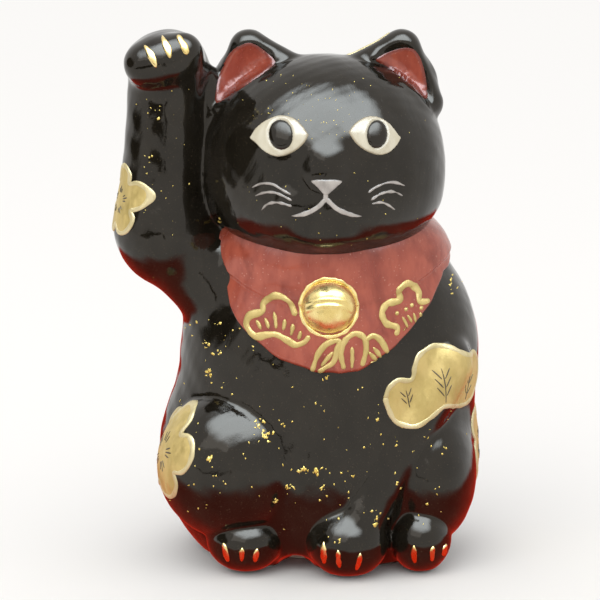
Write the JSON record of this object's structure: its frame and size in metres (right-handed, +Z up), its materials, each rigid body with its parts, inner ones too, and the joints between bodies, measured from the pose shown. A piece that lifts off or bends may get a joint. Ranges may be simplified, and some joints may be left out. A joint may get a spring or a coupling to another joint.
{
  "type": "beckoning cat figurine",
  "caption": "Seated glazed porcelain cat figurine with one forepaw raised beside its head, a bib with a round bell, and gilt motifs.",
  "frame": {"origin": "on the resting plane, under the middle of the overall bounding box", "axes": "+Z up, -Y the way the cat faces, -X the cat's right side, where the forepaw is raised"},
  "size_m": [0.0836, 0.0654, 0.1198],
  "materials": {
    "black_glaze": "glossy black glaze",
    "red_glaze": "satin red overglaze enamel",
    "cream_enamel": "glossy cream enamel",
    "pale_enamel": "satin raised grey-white enamel",
    "gold_enamel": "satin fired gold",
    "bare_clay": "matt unglazed biscuit"
  },
  "bodies": {
    "root": {"base_disc": "bare_clay", "bell": "gold_enamel", "bib_gold_leaf_1": "gold_enamel", "bib_gold_leaf_2": "gold_enamel", "bib_gold_leaf_3": "gold_enamel", "bib_gold_pine_line": "gold_enamel", "bib_gold_plum_line": "gold_enamel", "head_casting": "black_glaze", "left_ear_back_gold": "gold_enamel", "left_ear_casting": "black_glaze", "left_ear_enamel": "red_glaze", "left_eye_white": "cream_enamel", "left_forepaw_claw_1": "gold_enamel", "left_forepaw_claw_2": "gold_enamel", "left_forepaw_claw_3": "gold_enamel", "left_haunch_gold_blossom": "gold_enamel", "left_hind_claw_1": "gold_enamel", "left_hind_claw_2": "gold_enamel", "left_hind_claw_3": "gold_enamel", "left_pupil": "black_glaze", "left_shoulder_gold_cloud": "gold_enamel", "left_whisker_1": "pale_enamel", "left_whisker_2": "pale_enamel", "left_whisker_3": "pale_enamel", "mouth_left_line": "pale_enamel", "mouth_right_line": "pale_enamel", "neck_bib": "red_glaze", "nose_patch": "pale_enamel", "raised_arm_casting": "black_glaze", "right_arm_gold_blossom": "gold_enamel", "right_ear_casting": "black_glaze", "right_ear_enamel": "red_glaze", "right_eye_white": "cream_enamel", "right_forepaw_claw_1": "gold_enamel", "right_forepaw_claw_2": "gold_enamel", "right_forepaw_claw_3": "gold_enamel", "right_haunch_gold_blossom": "gold_enamel", "right_hind_claw_1": "gold_enamel", "right_hind_claw_2": "gold_enamel", "right_hind_claw_3": "gold_enamel", "right_pupil": "black_glaze", "right_whisker_1": "pale_enamel", "right_whisker_2": "pale_enamel", "right_whisker_3": "pale_enamel", "tail_casting": "black_glaze", "torso_casting": "black_glaze"}
  },
  "joints": []
}
